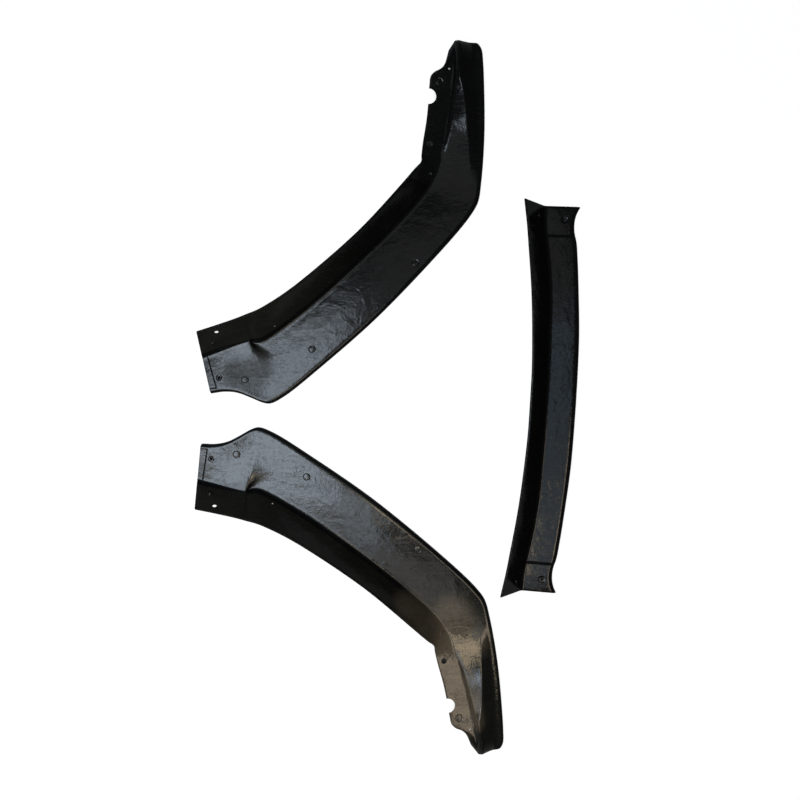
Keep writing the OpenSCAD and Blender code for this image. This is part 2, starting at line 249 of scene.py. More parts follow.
# Wings
def face_rise(s):
    rise = s * s / (2 * FACE_FILLET) if s < FACE_FILLET else s - FACE_FILLET / 2
    return rise / (1 - FACE_FILLET / 2)


def lap(u):
    return ease(*LAP_RAMP, u) * (1 - ease(*LAP_STEP, u))


def lap_gain(u, share):
    """Height over a straight line from rim to fold: the lap's step is sharp only near the fold."""
    s = min(max(share, 0.0), 1.0)
    step = ease(LAP_STEP[0] - LAP_LEAD * (1 - s), LAP_STEP[1] + LAP_SPREAD * (1 - s), u)
    soft = ease(*LAP_RAMP, u) * (1 - step)
    return LAP_RISE * (s ** 3 * soft - s * lap(u))


def roll(u):
    t = min(max(u - ROLL_START, 0.0), 1.0)
    return math.sqrt(1 - t * t)


def rails(u):
    fold = curve(FOLD_LINE, u) - np.array([0, LAP_SHIFT * lap(u)])
    return curve(FRONT_EDGE, u), fold, curve(FREE_EDGE, u)


def wing_fold_h(u):
    return mix(FOLD_H, RAMP_H, float(curve(RAMP_SHARE, u))) + LAP_RISE * lap(u)


def wing_corners(u, width, back):
    """Rim line, crest, fold, foot of the wall and free edge, as distance and height."""
    crested = float(curve(CREST_SHARE, u))
    fold_h = wing_fold_h(u)
    flange = fold_h - FLANGE_STEP * float(curve(STEP_SHARE, u))
    free = mix(flange, WALL_H, float(curve(WALL_SHARE, u)))
    line = mix(RIM_LINE, CREST_RIM, crested)
    crest_d = width * float(curve(CREST_PLACE, u))
    flat_h = mix(RIM_H, fold_h, (crest_d - line) / (width - line))
    high_h = fold_h + (CREST_H - RAMP_H) * (CREST_BASE + (1 - CREST_BASE) * fold_h / RAMP_H)
    return [np.array(p) for p in (
        (line, RIM_H), (crest_d, mix(flat_h, high_h, crested)), (width, fold_h),
        (width + FOLD_ROUND, mix(flange, free, FOLD_ROUND / back)), (width + back, free))]


def inset_corners(c, t):
    return [c[0] - np.array([0, t]), inset(c[0], c[1], c[2], t), inset(c[1], c[2], c[3], t),
            inset(c[2], c[3], c[4], t), c[4] + t * below(c[3], c[4])]


def wing_path(c, crested, strip):
    """Section from the rim line to the free edge, with its crest and fold rounded."""
    face_top = c[1] - CREST_ROUND * unit(c[1] - c[0])
    ramp = np.linalg.norm(c[2] - c[1])
    way = unit(c[2] - c[1])
    ramp_top = c[1] + min(CREST_ROUND, CREST_ROUND_MOST * ramp) * way
    fold_in = c[2] - min(FOLD_ROUND, FOLD_ROUND_MOST * ramp) * way
    drop = np.array([0, -strip])
    out = []
    for i in range(FACE_STEPS):
        s = i / FACE_STEPS
        rise = mix(s, face_rise(s), crested)
        out.append(np.array([mix(c[0][0], face_top[0], s), mix(c[0][1], face_top[1], rise)]) + drop)
    out += [p + drop for p in rounded(face_top, c[1], ramp_top, CREST_STEPS)]
    out += [mix(ramp_top, fold_in, i / RAMP_STEPS) + drop for i in range(1, RAMP_STEPS)]
    out += [p + drop if p[0] < c[3][0] else p for p in rounded(fold_in, c[2], c[3], FOLD_STEPS)]
    out += [mix(c[3], c[4], i / WALL_STEPS) for i in range(1, WALL_STEPS + 1)]
    return out


def wing_row(u, t):
    """Points across a wing at a station, on its surface or, with a thickness, on its underside."""
    front, fold, free = rails(u)
    width = np.linalg.norm(fold - front)
    back = np.linalg.norm(free - fold)
    blade_way = unit(fold - front)
    wall_way = unit(free - fold)
    corners = wing_corners(u, width, back)
    scale = max(roll(u), ROLL_LEAST) if t == 0 else max(roll(u + ROLL_LEAD), ROLL_LEAST_BELOW)
    strip = STRIP_DROP * (1 - ease(*STRIP_END, u))
    shape = corners if t == 0 else inset_corners(corners, t)
    path = rim(RIM_H - t, RIM_R - t, t) + wing_path(shape, float(curve(CREST_SHARE, u)), strip)
    row = []
    for d, h in path:
        flat = front + d * blade_way if d < width else fold + (d - width) * wall_way
        gain = lap_gain(u, (d - corners[0][0]) / (width - corners[0][0]))
        row.append((flat[0], flat[1], max((h + gain) * scale, 0.0)))
    return row


def wing_point(u, share, on_blade):
    front, fold, free = rails(u)
    width = np.linalg.norm(fold - front)
    back = np.linalg.norm(free - fold)
    k = wing_corners(u, width, back)
    flat = mix(front, fold, share) if on_blade else mix(fold, free, share)
    d = width * share if on_blade else width + back * share
    if on_blade:
        a, b = (k[0], k[1]) if d < k[1][0] else (k[1], k[2])
    else:
        a, b = k[3], k[4]
    gain = lap_gain(u, (d - k[0][0]) / (width - k[0][0]))
    return np.array([flat[0], flat[1], mix(a[1], b[1], (d - a[0]) / (b[0] - a[0])) + gain])


def wing_stations():
    """Stations along a wing, closer at the inner strip, the lap's step and the rolled outer end."""
    even = [round(i * 0.1, 3) for i in range(10 * ROLL_START + 1)]
    strip = [0.05, 0.48, 0.51, 0.54, 0.57]
    step = [5.04, 5.08, 5.12, 5.16, 5.25]
    rolled = [22.05] + [round(ROLL_START + math.sin(math.pi / 2 * i / 14), 4) for i in range(15)]
    return sorted(set(even + strip + step + rolled))


# Centre section
def tab(x):
    return ease(HALF - TAB_LENGTH - RISER, HALF - TAB_LENGTH, abs(x))


def centre_corners(x):
    """Rim line, middle, fold, foot of the wall and free edge, as distance and height."""
    drop = TAB_DROP * tab(x)
    width = float(curve(CENTRE_FRONT, abs(x)) - curve(CENTRE_FOLD, abs(x)))
    back = float(curve(CENTRE_FOLD, abs(x)) - curve(CENTRE_REAR, abs(x)))
    h = FOLD_H + TAB_DROP - drop
    slope = (WALL_H - h) / back
    middle = (width / 2 - RIM_LINE) / (width - RIM_LINE)
    return [np.array(p) for p in (
        (RIM_LINE, RIM_H - drop), (width / 2, mix(RIM_H - drop, h, middle)), (width, h),
        (width + FOLD_ROUND, h + FOLD_ROUND * slope), (width + back, WALL_H))]


def centre_row(x, t):
    """Points across the centre section, on its surface or, with a thickness, on its underside."""
    c = centre_corners(x)
    rim_top = c[0][1]
    if t:
        c = inset_corners(c, t)
    fold_in = c[2] - FOLD_ROUND * unit(c[2] - c[0])
    path = rim(rim_top - t, RIM_R - t, t)
    path += [mix(c[0], fold_in, i / BLADE_STEPS) for i in range(BLADE_STEPS)]
    path += rounded(fold_in, c[2], c[3], FOLD_STEPS)
    path += [mix(c[3], c[4], i / WALL_STEPS) for i in range(1, WALL_STEPS + 1)]
    front = float(curve(CENTRE_FRONT, abs(x)))
    return [(x, front - d, max(h, 0.0)) for d, h in path]


def centre_point(x, share, on_blade):
    front, fold, rear = (float(curve(rail, abs(x))) for rail in (CENTRE_FRONT, CENTRE_FOLD, CENTRE_REAR))
    c = centre_corners(x)
    a, b = (c[0], c[2]) if on_blade else (c[3], c[4])
    d = (front - fold) * share if on_blade else front - fold + (fold - rear) * share
    return np.array([x, front - d, mix(a[1], b[1], (d - a[0]) / (b[0] - a[0]))])


def centre_stations():
    """Stations along the centre section, closer at the risers and on the tabs."""
    riser = HALF - TAB_LENGTH - RISER
    side = [float(s) for s in range(0, 301, 6)] + [riser + i for i in range(-6, 16)]
    side = sorted(set(side + [325.0, 331.0, 337.0, 343.0, 349.0, 355.0, 360.0, HALF]))
    return [-s for s in reversed(side) if s > 0] + side


# Meshes
def spot(point_at, k, share, on_blade, near=0.05):
    """Frame on a surface whose Z axis stands straight out of it."""
    along = point_at(k + near, share, on_blade) - point_at(k - near, share, on_blade)
    x = unit(point_at(k, share + near, on_blade) - point_at(k, share - near, on_blade))
    z = unit(np.cross(x, along))
    y = np.cross(z, x)
    m = Matrix.Identity(4)
    for col, v in enumerate((x, y, z, point_at(k, share, on_blade))):
        for row in range(3):
            m[row][col] = float(v[row])
    return m


def shell_mesh(name, stations, row_at):
    """Closed shell lofted through the stations, with its surface and underside."""
    surface = [row_at(u, 0) for u in stations]
    underside = [row_at(u, SHELL) for u in stations]
    rows = len(surface)
    cols = len(surface[0])
    verts = [p for row in surface + underside for p in row]

    def t(i, j):
        return i * cols + j

    def w(i, j):
        return rows * cols + t(i, j)

    faces = []
    for i in range(rows - 1):
        for j in range(cols - 1):
            faces.append((t(i, j), t(i, j + 1), t(i + 1, j + 1), t(i + 1, j)))
            faces.append((w(i, j), w(i + 1, j), w(i + 1, j + 1), w(i, j + 1)))
        faces.append((t(i, 0), t(i + 1, 0), w(i + 1, 0), w(i, 0)))
        faces.append((t(i, cols - 1), w(i, cols - 1), w(i + 1, cols - 1), t(i + 1, cols - 1)))
    for j in range(cols - 1):
        faces.append((t(0, j), w(0, j), w(0, j + 1), t(0, j + 1)))
        faces.append((t(rows - 1, j), t(rows - 1, j + 1), w(rows - 1, j + 1), w(rows - 1, j)))
    mesh = bpy.data.meshes.new(name)
    mesh.from_pydata(verts, [], faces)
    bm = bmesh.new()
    bm.from_mesh(mesh)
    bmesh.ops.recalc_face_normals(bm, faces=bm.faces)
    for face in bm.faces:
        face.smooth = True
    bm.to_mesh(mesh)
    bm.free()
    return mesh


def round_solid(bm, frame_at, profile, sides):
    """Turned solid from a profile of (radius, height) points, bottom to top, closed by its ends."""
    rings = []
    for r, z in profile:
        ring = []
        for i in range(sides):
            a = 2 * math.pi * (i + 0.5) / sides
            ring.append(bm.verts.new(frame_at @ Vector((r * math.cos(a), r * math.sin(a), z))))
        rings.append(ring)
    for low, high in zip(rings, rings[1:]):
        for i in range(sides):
            j = (i + 1) % sides
            bm.faces.new((low[i], low[j], high[j], high[i]))
    bm.faces.new(list(reversed(rings[0])))
    bm.faces.new(rings[-1])


def solids_object(name, items):
    bm = bmesh.new()
    for item in items:
        round_solid(bm, *item)
    bmesh.ops.recalc_face_normals(bm, faces=bm.faces)
    mesh = bpy.data.meshes.new(name)
    bm.to_mesh(mesh)
    bm.free()
    obj = bpy.data.objects.new(name, mesh)
    bpy.context.collection.objects.link(obj)
    return obj


def cylinder(frame_at, d, sides=ROUND_SIDES):
    return frame_at, [(d / 2, -REACH), (d / 2, REACH)], sides


def disc(frame_at, d, h, soft):
    """Raised round with a domed edge, rooted in the shell."""
    dome = (0, 0.35, 0.7, 1.05, math.pi / 2)
    edge = [(d / 2 - soft * (1 - math.cos(a)), h * math.sin(a)) for a in dome]
    return frame_at, [(d / 2, -ROOT)] + edge, ROUND_SIDES


def dished(frame_at, d, depth, slope):
    """Recess whose side slopes down to its floor."""
    r = d / 2
    side = [(r - out * slope, -down * depth) for out, down in ((1, 1), (0.75, 0.85), (0.15, 0.12))]
    return frame_at, side + [(r, LIFT), (r, REACH)], SEAT_SIDES


def evaluated(obj):
    graph = bpy.context.evaluated_depsgraph_get()
    return bpy.data.meshes.new_from_object(obj.evaluated_get(graph), depsgraph=graph)


def carry_normals(mesh, plain):
    """Keeps the uncut surface's smooth shading round the holes."""
    touch = 0.02
    same_way = 0.9
    plain.calc_loop_triangles()
    points = [v.co.copy() for v in plain.vertices]
    corners = [p.vertices[:] for p in plain.polygons]
    loops = [list(p.loop_indices) for p in plain.polygons]
    normals = [v.vector.copy() for v in plain.corner_normals]
    tree = BVHTree.FromPolygons(points, corners)
    found = [None] * len(mesh.vertices)
    out = [Vector((0, 0, 0))] * len(mesh.loops)
    for poly in mesh.polygons:
        poly.use_smooth = True
        for li in poly.loop_indices:
            vi = mesh.loops[li].vertex_index
            if found[vi] is None:
                nearest, _, index, far = tree.find_nearest(mesh.vertices[vi].co)
                if far > touch:
                    found[vi] = False
                else:
                    weights = poly_3d_calc([points[k] for k in corners[index]], nearest)
                    smooth = Vector((0, 0, 0))
                    for share, loop in zip(weights, loops[index]):
                        smooth += share * normals[loop]
                    found[vi] = smooth.normalized()
            if found[vi] and found[vi].dot(poly.normal) > same_way:
                out[li] = found[vi]
    mesh.set_sharp_from_angle(angle=SHARP)
    mesh.normals_split_custom_set(out)


def make_piece(name, mesh, parts, place):
    """Rounds the moulding's edges, cuts its grooves, adds its raised rounds and cuts its holes."""
    obj = bpy.data.objects.new(name, mesh)
    bpy.context.collection.objects.link(obj)
    bevel = obj.modifiers.new("edges", "BEVEL")
    bevel.width = EDGE_ROUND
    bevel.segments = 2
    bevel.limit_method = "ANGLE"
    bevel.angle_limit = SHARP
    plain = evaluated(obj)
    obj.modifiers.clear()
    obj.data = plain
    tools = []
    for operation, items in zip(("DIFFERENCE", "UNION", "DIFFERENCE", "DIFFERENCE"), parts):
        if items:
            tool = solids_object(name + operation.lower(), items)
            tools.append(tool)
            step = obj.modifiers.new(operation, "BOOLEAN")
            step.operation = operation
            step.solver = "MANIFOLD"
            step.object = tool
    cut = evaluated(obj)
    obj.modifiers.clear()
    for tool in tools:
        bpy.data.objects.remove(tool)
    carry_normals(cut, plain)
    obj.data = cut
    cut.transform(place)
    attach(obj, "root")
    return obj


# The parts of each moulding: grooves, raised rounds, recesses and bores
def wing_parts():
    def at(place):
        return spot(wing_point, *place)

    pads = [at(place) for place in PADS_AT]
    grooves = [dished(pad, PAD_D + GROOVE, GROOVE_DEPTH, GROOVE_SLOPE) for pad in pads]
    added = [disc(pad, PAD_D, PAD_H, PAD_SOFT) for pad in pads]
    added.append(disc(at(SCREW_AT), RING_D, RING_H, RING_SOFT))
    added.append(disc(at(FLANGE_SCREW_AT), RING_D, PAD_H, RING_SOFT))
    seats = [dished(at(JOIN_AT), JOIN_SEAT, SEAT_DEPTH, SEAT_SLOPE)]
    bores = [cylinder(at(place), d) for place, d in (
        (JOIN_AT, JOIN_BORE), (SCREW_AT, SCREW_BORE), (CLEAR_AT, CLEAR_BORE), (PIN_AT, PIN_BORE),
        (FLANGE_SCREW_AT, SCREW_BORE), (CLIP_AT, CLIP_BORE), (EAR_PIN_AT, PIN_BORE))]
    bores.append(cylinder(at(NOTCH_AT), 2 * NOTCH_R, NOTCH_SIDES))
    return grooves, added, seats, bores


def centre_parts():
    added = []
    seats = []
    bores = []
    for side in (-1, 1):
        screw = spot(centre_point, side * (HALF - TAB_SCREW_AT[0]), TAB_SCREW_AT[1], False)
        join = spot(centre_point, side * (HALF - TAB_JOIN_AT[0]), TAB_JOIN_AT[1], True)
        added.append(disc(screw, RING_D, RING_H, RING_SOFT))
        seats.append(dished(join, TAB_SEAT, SEAT_DEPTH, SEAT_SLOPE))
        bores.append(cylinder(join, JOIN_BORE))
        bores.append(cylinder(screw, SCREW_BORE))
    return [], added, seats, bores


# Layout
def wing_place(turn, flip, x, y):
    """Turns a wing and sets its outermost edge at x and its foremost edge at y, in metres."""
    a = math.radians(turn)
    tips = []
    for i in range(10 * FRONT_EDGE[-1][0] + 1):
        p = curve(FRONT_EDGE, i / 10)
        tips.append((p[0] * math.cos(a) - flip * p[1] * math.sin(a),
                     p[0] * math.sin(a) + flip * p[1] * math.cos(a)))
    shift = Vector((x - max(p[0] for p in tips), y - flip * max(flip * p[1] for p in tips), 0)) * MM
    return (Matrix.Translation(shift) @ Matrix.Rotation(a, 4, "Z") @ Matrix.Diagonal((1, flip, 1, 1))
            @ Matrix.Scale(MM, 4))


left_place = wing_place(LEFT_TURN, -1, LEFT_X, GAP_Y + WING_GAP / 2)
right_place = wing_place(RIGHT_TURN, 1, RIGHT_X, GAP_Y - WING_GAP / 2)
centre_place = (Matrix.Translation(Vector((CENTRE[0], CENTRE[1], 0)) * MM)
                @ Matrix.Rotation(math.radians(CENTRE_TURN), 4, "Z") @ Matrix.Scale(MM, 4))
left_mesh = shell_mesh("left", wing_stations(), wing_row)
right_mesh = shell_mesh("right", wing_stations(), wing_row)
centre_mesh = shell_mesh("centre", centre_stations(), centre_row)
left = make_piece("left_wing_moulding", left_mesh, wing_parts(), left_place)
right = make_piece("right_wing_moulding", right_mesh, wing_parts(), right_place)
centre = make_piece("centre_section_moulding", centre_mesh, centre_parts(), centre_place)
# The left wing is mirrored, which turned its faces inside out
left.data.flip_normals()
for piece, node, slot in ((left, "left_wing", "wing_plastic"), (right, "right_wing", "wing_plastic"),
                          (centre, "centre_section", "centre_plastic")):
    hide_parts(node)


# Materials
# Share of the reach of a film or smear within which it is full
CORE = 0.3


class Nodes:
    """Shorthand for building a node tree."""

    def __init__(self, name):
        self.mat = bpy.data.materials.new(name)
        self.mat.use_nodes = True
        self.tree = self.mat.node_tree
        self.tree.nodes.clear()

    def add(self, kind, **values):
        node = self.tree.nodes.new(kind)
        for key, value in values.items():
            if key in node.inputs:
                self.put(node.inputs[key], value)
            else:
                setattr(node, key, value)
        return node

    def put(self, socket, value):
        if isinstance(value, bpy.types.NodeSocket):
            self.tree.links.new(value, socket)
        else:
            socket.default_value = value

    def math(self, operation, a, b=0.0, clamp=False):
        node = self.add("ShaderNodeMath", operation=operation, use_clamp=clamp)
        self.put(node.inputs[0], a)
        self.put(node.inputs[1], b)
        return node.outputs[0]

    def vector(self, operation, a, b=None, out=0):
        node = self.add("ShaderNodeVectorMath", operation=operation)
        self.put(node.inputs[0], a)
        if b is not None:
            self.put(node.inputs["Scale" if operation == "SCALE" else 1], b)
        return node.outputs[out]

    def span(self, value, low, high, to_low=0.0, to_high=1.0):
        node = self.add("ShaderNodeMapRange", interpolation_type="SMOOTHSTEP")
        for socket, v in zip(node.inputs, (value, low, high, to_low, to_high)):
            self.put(socket, v)
        return node.outputs[0]

    def part(self, vector, axis):
        node = self.add("ShaderNodeSeparateXYZ")
        self.put(node.inputs[0], vector)
        return node.outputs[axis]

    def blend(self, share, a, b):
        node = self.add("ShaderNodeMix", data_type="RGBA")
        self.put(node.inputs[0], share)
        self.put(node.inputs[6], a)
        self.put(node.inputs[7], b)
        return node.outputs[2]

    def noise(self, place, scale, detail=2.0, rough=0.5, stretch=(1, 1, 1), turn=0.0,
              shift=(0, 0, 0), warp=0.0):
        mapping = self.add("ShaderNodeMapping", Scale=stretch, Rotation=(0, 0, turn), Location=shift)
        self.put(mapping.inputs["Vector"], place)
        node = self.add("ShaderNodeTexNoise", Scale=scale, Detail=detail, Roughness=rough,
                        Distortion=warp)
        self.put(node.inputs["Vector"], mapping.outputs[0])
        return node.outputs["Fac"]

    def near_line(self, place, a, b, full, none):
        """1 within a distance of the line from a to b, and 0 beyond a larger one."""
        line = Vector(b) - Vector(a)
        start = self.vector("SUBTRACT", place, a)
        along = self.vector("DOT_PRODUCT", start, line, 1)
        foot = self.vector("SCALE", tuple(line), self.math("DIVIDE", along, line.length_squared, True))
        away = self.vector("LENGTH", self.vector("SUBTRACT", start, foot), None, 1)
        return self.span(away, none, full)

    def covers(self, place, lines, mottle):
        """For each line of two ends, a reach and an amount, how much of its mark lies at a point."""
        out = []
        for a, b, reach, amount in lines:
            near = self.near_line(place, a, b, CORE * reach, reach)
            out.append(self.math("MULTIPLY", self.math("MULTIPLY", near, mottle), amount))
        return out


BLACK = (0.0045, 0.0045, 0.0047, 1)
HAZE = (0.008, 0.008, 0.0083, 1)
# Olive dust colour, partly a painted reflection: it also stands in for the olive tone that the walls
# mirror
OLIVE_DUST_AND_REFLECTION = (0.023, 0.0225, 0.0172, 1)
# Brown film colour, partly a painted warm reflection: it also stands in for the warm light that the right
# wing's flange mirrors
BROWN_FILM_AND_REFLECTION = (0.175, 0.136, 0.09, 1)
SCRATCH = (0.06, 0.06, 0.065, 1)
# X where the west half, with the most wear, begins and is full
WEST = (0.02, -0.24)
# The rim is kept black, without the dust and painted reflection colour, where its normal's Z and its
# height in metres go from none to all
RIM_BLACK_TILT = (0.97, 0.85)
RIM_BLACK_HEIGHT = (0.0145, 0.0125)
# Roughness of the clean gloss, of its specks and streaks and of a scratch, and how much of
# its own colour a scratch shows
GLOSS_ROUGH = 0.1
SPECK_ROUGH = 0.13
STREAK_ROUGH = 0.08
SCRATCH_ROUGH = 0.2
SCRATCH_COVER = 0.4
PLASTIC_IOR = 1.5
PEEL_DEPTH = 0.00012
CREASE_DEPTH = 0.0001
WAVE_DEPTH = 0.0006


def handling_marks(n, place, shift, along):
    """Wiping marks, a haze of them and of smudges, grain, streaks and fine scratches."""
    smudge = n.span(n.noise(place, 16, 5, 0.62, shift=shift, warp=0.6), 0.47, 0.7)
    wiped = n.noise(place, 9, 4, 0.55, stretch=(1, 7, 1), turn=along, shift=shift, warp=0.25)
    wipe = n.span(wiped, 0.5, 0.72)
    haze = n.math("ADD", n.math("MULTIPLY", smudge, 0.55), n.math("MULTIPLY", wipe, 0.45), True)
    grain = n.noise(place, 170, 3, 0.75, shift=shift)
    streak = n.noise(place, 30, 3, 0.6, stretch=(1, 5, 1), turn=along + 0.3, shift=shift, warp=0.3)
    scored = n.noise(place, 60, 2, 0.5, stretch=(1, 34, 1), turn=along + 0.5, shift=shift)
    scratch = n.span(scored, 0.66, 0.7)
    return SimpleNamespace(wipe=wipe, haze=haze, grain=grain, streak=streak, scratch=scratch)


def dust_and_reflection_colour(n, place, marks, west, far_dust_and_reflection, film_and_reflection):
    """Black under a haze, olive dust and painted reflection that leave the upper rim black, a brown film
    that is partly a painted warm reflection, and pale scratches.
    """
    up = n.part(n.add("ShaderNodeNewGeometry").outputs["Normal"], 2)
    low = n.span(n.part(place, 2), *RIM_BLACK_HEIGHT)
    rim_kept_black = n.math("MULTIPLY", n.span(up, *RIM_BLACK_TILT), low)
    westward_dust_and_reflection = n.span(west, 0.0, 1.0, far_dust_and_reflection, 1.0)
    dust_and_reflection = n.math("MULTIPLY", westward_dust_and_reflection, n.span(marks.haze, 0.0, 0.8, 0.6, 1.0))
    dust_and_reflection = n.math("MULTIPLY", dust_and_reflection, n.math("SUBTRACT", 1.0, rim_kept_black))
    colour = n.blend(marks.haze, BLACK, HAZE)
    # Olive dust that is partly a painted reflection, fuller to the west and kept off the upper rim
    colour = n.blend(dust_and_reflection, colour, OLIVE_DUST_AND_REFLECTION)
    # Brown film that is partly a painted warm reflection, along the given lines
    for cover in n.covers(place, film_and_reflection, n.span(marks.grain, 0.3, 0.65, 0.7, 1.0)):
        colour = n.blend(cover, colour, BROWN_FILM_AND_REFLECTION)
    return n.blend(n.math("MULTIPLY", marks.scratch, SCRATCH_COVER), colour, SCRATCH)


def gloss_roughness(n, place, marks, worn, shine, dull):
    """Even gloss with specks and streaks, duller along the dull lines and in the scratches."""
    speck = n.math("MULTIPLY", n.span(marks.grain, 0.34, 0.66, 0.0, SPECK_ROUGH), worn)
    streak = n.span(marks.streak, 0.45, 0.72, 0.0, STREAK_ROUGH)
    rough = n.math("ADD", n.math("ADD", speck, GLOSS_ROUGH), streak)
    rough = n.math("MULTIPLY", rough, shine)
    for cover in n.covers(place, dull, n.span(marks.wipe, 0.0, 0.6, 1.0, 0.6)):
        rough = n.math("ADD", rough, cover)
    return n.math("ADD", rough, n.math("MULTIPLY", marks.scratch, SCRATCH_ROUGH), True)


def moulding_bumps(n, place, seed, shift, worn):
    """Orange peel, fine creases in patches, and shallow waves."""
    peel = n.noise(place, 260, 2, 0.5, shift=shift)
    wave = n.noise(place, 34, 2, 0.5, shift=shift, warp=0.4)
    folded = n.math("SUBTRACT", n.noise(place, 36, 2, 0.5, shift=shift, warp=0.5), 0.5)
    patch = n.span(n.noise(place, 15, 2, 0.5, shift=(0.3, seed, 0)), 0.53, 0.63)
    crease = n.span(n.math("ABSOLUTE", folded), 0.03, 0.0)
    crease = n.math("MULTIPLY", crease, n.math("MULTIPLY", patch, worn))
    normal = None
    for height, depth in ((peel, PEEL_DEPTH), (crease, CREASE_DEPTH), (wave, WAVE_DEPTH)):
        bump = n.add("ShaderNodeBump", Strength=1.0, Distance=depth, Height=height)
        if normal is not None:
            n.put(bump.inputs["Normal"], normal)
        normal = bump.outputs[0]
    return normal


def gloss_black(name, seed, along, calm, shine, far_dust_and_reflection, film_and_reflection, dull):
    """Gloss black moulding, handled and dusty, with painted reflections in its colour. Its far half, away
    from the west, is calmer.
    """
    n = Nodes(name)
    place = n.add("ShaderNodeTexCoord").outputs["Object"]
    shift = (seed, 2.3 * seed, 0.7 * seed)
    west = n.span(n.part(place, 0), *WEST)
    worn = n.span(west, 0.0, 1.0, calm, 1.0)
    marks = handling_marks(n, place, shift, along)
    shader = n.add("ShaderNodeBsdfPrincipled", IOR=PLASTIC_IOR)
    n.put(shader.inputs["Base Color"], dust_and_reflection_colour(n, place, marks, west, far_dust_and_reflection, film_and_reflection))
    n.put(shader.inputs["Roughness"], gloss_roughness(n, place, marks, worn, shine, dull))
    n.put(shader.inputs["Normal"], moulding_bumps(n, place, seed, shift, worn))
    out = n.add("ShaderNodeOutputMaterial")
    n.put(out.inputs["Surface"], shader.outputs[0])
    return n.mat


# Lines that a brown film with a painted warm reflection, or a dull smear, lies along: two ends in metres,
# reach and amount
FLANGE_FILM_AND_REFLECTION = [
    ((0.04, -0.38, 0.03), (0.107, -0.456, 0.014), 0.045, 0.45),
    ((0.107, -0.456, 0.014), (0.144, -0.605, 0.023), 0.04, 0.5),
    ((0.125, -0.404, 0.007), (0.152, -0.447, 0.012), 0.056, 0.6),
    ((0.156, -0.525, 0.024), (0.171, -0.602, 0.037), 0.022, 0.45)]
DULL_SMEAR = [((-0.282, 0.062, 0.008), (-0.244, 0.06, 0.009), 0.04, 0.25)]
# Piece, seed, direction of the wiping marks in degrees, wear of its far half, share of the
# roughness, dust and painted reflection of its far half, lines of brown film with painted warm
# reflection, and dull lines
for piece, seed, along, calm, shine, far_dust_and_reflection, film_and_reflection, dull in (
        (left, 1.7, -20, 0.15, 1.0, 0.15, [], DULL_SMEAR),
        (right, 5.1, 35, 0.3, 1.0, 0.8, FLANGE_FILM_AND_REFLECTION, []),
        (centre, 9.4, 0, 0.8, 0.8, 0.1, [], [])):
    mat = gloss_black(piece.name + "_gloss", seed, math.radians(along), calm, shine, far_dust_and_reflection, film_and_reflection, dull)
    piece.data.materials.clear()
    piece.data.materials.append(mat)

# Camera, almost straight above as in the photograph, in metres
CAMERA = Vector((0.0238, 0.07575, 1.4985))
TARGET = Vector((0.0238, 0.00775, 0.0))
SENSOR = 36.0
LENS = 35.53

# Floor: how far it reaches, how far a moulding's painted shade on it reaches, the shares of open sky
# at which it is painted dark and full white, and its levels to the camera, to a reflection and as a matt
# colour
FLOOR = 6.0
FLOOR_DROP = 0.0002
SHADE_REACH = 0.05
SHADE_SAMPLES = 12
SHADE_SKY = (0.25, 0.45)
FLOOR_WHITE = 0.96
FLOOR_GLOW = 0.03
FLOOR_GREY = (0.16, 0.16, 0.16, 1)
# Painted shade on the floor below a hole: full and no shade, as distances
HOLE_SHADE = (0.006, 0.009)


def hole_shade(n, place, hole):
    """Painted shade: a dark round on the floor where the camera looks at it through a hole."""
    sight = (hole - CAMERA) * (hole.z / (CAMERA.z - hole.z))
    seen_at = Vector((hole.x + sight.x, hole.y + sight.y, 0.0))
    return n.near_line(place, tuple(seen_at), tuple(seen_at + Vector((MM, 0, 0))), *HOLE_SHADE)


def pale_floor(holes):
    """Pale floor that is white to the camera but for painted shade near the mouldings and below holes,
    and keeps the mouldings' shadows in its matt colour.
    """
    n = Nodes("pale_floor")
    path = n.add("ShaderNodeLightPath")
    around = n.add("ShaderNodeAmbientOcclusion", Distance=SHADE_REACH, samples=SHADE_SAMPLES)
    # Painted shade: the white to the camera dims where little open sky is seen, near and under the
    # mouldings
    white = n.span(around.outputs["AO"], *SHADE_SKY, 0.0, FLOOR_WHITE)
    place = n.add("ShaderNodeTexCoord").outputs["Object"]
    # Painted shade on the floor below each hole
    for hole in holes:
        white = n.math("MULTIPLY", white, n.math("SUBTRACT", 1.0, hole_shade(n, place, hole)))
    mirrored = n.math("MAXIMUM", path.outputs["Is Glossy Ray"], path.outputs["Is Transmission Ray"])
    seen = n.math("ADD", n.math("MULTIPLY", path.outputs["Is Camera Ray"], white),
                  n.math("MULTIPLY", mirrored, FLOOR_GLOW))
    glow = n.add("ShaderNodeEmission", Color=(1, 1, 1, 1), Strength=seen)
    matt = n.add("ShaderNodeBsdfDiffuse", Color=FLOOR_GREY)
    both = n.add("ShaderNodeAddShader")
    n.put(both.inputs[0], glow.outputs[0])
    n.put(both.inputs[1], matt.outputs[0])
    out = n.add("ShaderNodeOutputMaterial")
    n.put(out.inputs["Surface"], both.outputs[0])
    return n.mat


floor_mesh = bpy.data.meshes.new("floor")
floor_corners = [(-FLOOR, -FLOOR, 0), (FLOOR, -FLOOR, 0), (FLOOR, FLOOR, 0), (-FLOOR, FLOOR, 0)]
floor_mesh.from_pydata(floor_corners, [], [(0, 1, 2, 3)])
floor = bpy.data.objects.new("floor", floor_mesh)
floor.location.z = -FLOOR_DROP
bpy.context.collection.objects.link(floor)
clip_point = Vector(wing_point(*CLIP_AT))
floor_mesh.materials.append(pale_floor([left_place @ clip_point, right_place @ clip_point]))

# World: white to the camera, dim elsewhere
WORLD_DIM = 0.028
WORLD_COOL = (0.9, 0.95, 1.0, 1)


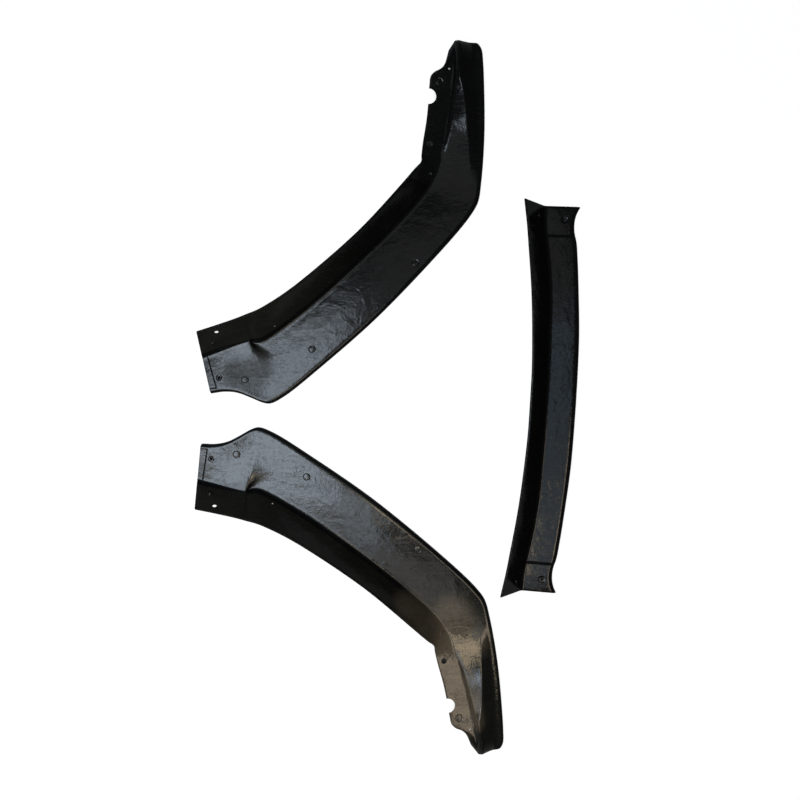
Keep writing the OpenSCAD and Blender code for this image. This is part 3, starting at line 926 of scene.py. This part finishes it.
def studio_world():
    world = bpy.data.worlds.new("studio")
    world.use_nodes = True
    tree = world.node_tree
    tree.nodes.clear()
    path = tree.nodes.new("ShaderNodeLightPath")
    dim = tree.nodes.new("ShaderNodeBackground")
    dim.inputs["Color"].default_value = WORLD_COOL
    dim.inputs["Strength"].default_value = WORLD_DIM
    white = tree.nodes.new("ShaderNodeBackground")
    white.inputs["Color"].default_value = (1, 1, 1, 1)
    choose = tree.nodes.new("ShaderNodeMixShader")
    tree.links.new(path.outputs["Is Camera Ray"], choose.inputs[0])
    tree.links.new(dim.outputs[0], choose.inputs[1])
    tree.links.new(white.outputs[0], choose.inputs[2])
    out = tree.nodes.new("ShaderNodeOutputWorld")
    tree.links.new(choose.outputs[0], out.inputs["Surface"])
    return world


bpy.context.scene.world = studio_world()

# Lamps: name, x from and to, y from and to in metres, colour and radiance. The cool window is
# wide and stands to the west, where the inner ends of the wings mirror it. The warm lamps stand
# to the south, a dim one to the north, and the last one lights the centre section.
PANEL_H = 1.56
COOL = (0.76, 0.87, 1.0)
TAN = (1.0, 0.82, 0.62)
CREAM = (1.0, 0.81, 0.55)
PANELS = [
    ("window_south", -1.1, -0.43, -0.82, -0.2, COOL, 6.8),
    ("window_north", -1.1, -0.5, -0.2, 0.5, COOL, 5.3),
    ("window_north_edge", -0.5, -0.41, -0.2, 0.57, COOL, 4.7),
    ("window_edge", -0.43, -0.27, -0.98, -0.66, COOL, 3.0),
    ("grey_north", -0.38, 0.22, 0.25, 0.85, (1.0, 1.0, 1.0), 0.22),
    ("cream_flange", -0.22, 0.01, -0.74, -0.42, CREAM, 5.8),
    ("cream_blade", -0.35, 0.03, -1.2, -0.97, (1.0, 0.94, 0.88), 1.1),
    ("tan_ear", 0.3, 0.56, -1.15, -0.45, TAN, 3.6),
    ("tan_ear_end", 0.34, 0.47, -0.45, -0.15, TAN, 4.2),
    ("tan_west", -2.2, -0.5, -1.5, -0.9, (1.0, 0.9, 0.78), 1.8),
    ("dim_centre", 0.03, 0.24, -0.85, 0.25, (0.6, 0.8, 1.0), 0.85)]


def panel(name, x0, x1, y0, y1, colour, radiance):
    """Soft rectangular lamp that faces down, with a radiance in the units of the render."""
    data = bpy.data.lights.new(name, "AREA")
    data.shape = "RECTANGLE"
    data.size = x1 - x0
    data.size_y = y1 - y0
    data.color = colour
    data.energy = radiance * math.pi * (x1 - x0) * (y1 - y0)
    obj = bpy.data.objects.new(name, data)
    obj.location = ((x0 + x1) / 2, (y0 + y1) / 2, PANEL_H)
    bpy.context.collection.objects.link(obj)


for lamp in PANELS:
    panel(*lamp)


def camera_frame():
    """Place of the camera, looking at its target with the picture's width along X."""
    back = (CAMERA - TARGET).normalized()
    side = Vector((1, 0, 0))
    turn = Matrix.Identity(4)
    for col, v in enumerate((side, back.cross(side), back, CAMERA)):
        for row in range(3):
            turn[row][col] = v[row]
    return turn


camera_data = bpy.data.cameras.new("camera")
camera_data.sensor_width = SENSOR
camera_data.lens = LENS
camera = bpy.data.objects.new("camera", camera_data)
bpy.context.collection.objects.link(camera)
camera.matrix_world = camera_frame()
bpy.context.scene.camera = camera
bpy.context.scene.view_settings.view_transform = "Standard"
